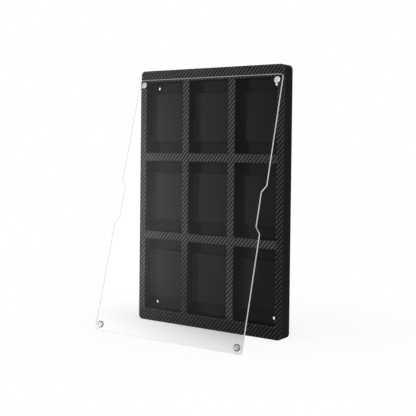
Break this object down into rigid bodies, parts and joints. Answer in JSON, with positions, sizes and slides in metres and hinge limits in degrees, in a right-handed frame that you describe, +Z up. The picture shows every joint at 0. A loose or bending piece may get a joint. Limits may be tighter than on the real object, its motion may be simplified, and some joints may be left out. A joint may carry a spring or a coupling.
{
  "type": "trading card display case",
  "caption": "Black wall or shelf case with a grid of card pockets and a woven-look face; its clear cover, held on by corner magnets, leans against the front.",
  "frame": {"origin": "centre of the case's flat bottom face, midway between its face and its back", "axes": "+X to the right seen from the front, +Y from the face to the back, +Z up"},
  "size_m": [0.328, 0.1606, 0.496],
  "materials": {
    "shell": "matte",
    "panel": "matte",
    "woven_skin": "satin",
    "rest": "matte",
    "screw": "satin",
    "magnet": "polished",
    "clear_sheet": "polished"
  },
  "bodies": {
    "case": {"front_shell": "shell", "back_panel": "panel", "face_skin": "woven_skin", "back_screws": "screw", "card_rest_r1c1": "rest", "card_rest_r1c2": "rest", "card_rest_r1c3": "rest", "card_rest_r2c1": "rest", "card_rest_r2c2": "rest", "card_rest_r2c3": "rest", "card_rest_r3c1": "rest", "card_rest_r3c2": "rest", "card_rest_r3c3": "rest", "case_magnet_top_left": "magnet", "case_magnet_top_right": "magnet", "case_magnet_bottom_left": "magnet", "case_magnet_bottom_right": "magnet"},
    "cover": {"cover_sheet": "clear_sheet", "cover_magnet_top_left": "magnet", "cover_magnet_top_right": "magnet", "cover_magnet_bottom_left": "magnet", "cover_magnet_bottom_right": "magnet"}
  },
  "joints": [
    {"name": "cover_close", "type": "hinge", "parent": "case", "child": "cover", "pos_m": [0, -0.08313, 0.48532], "axis": [1, 0, 0], "range_deg": [0, 15]}
  ]
}
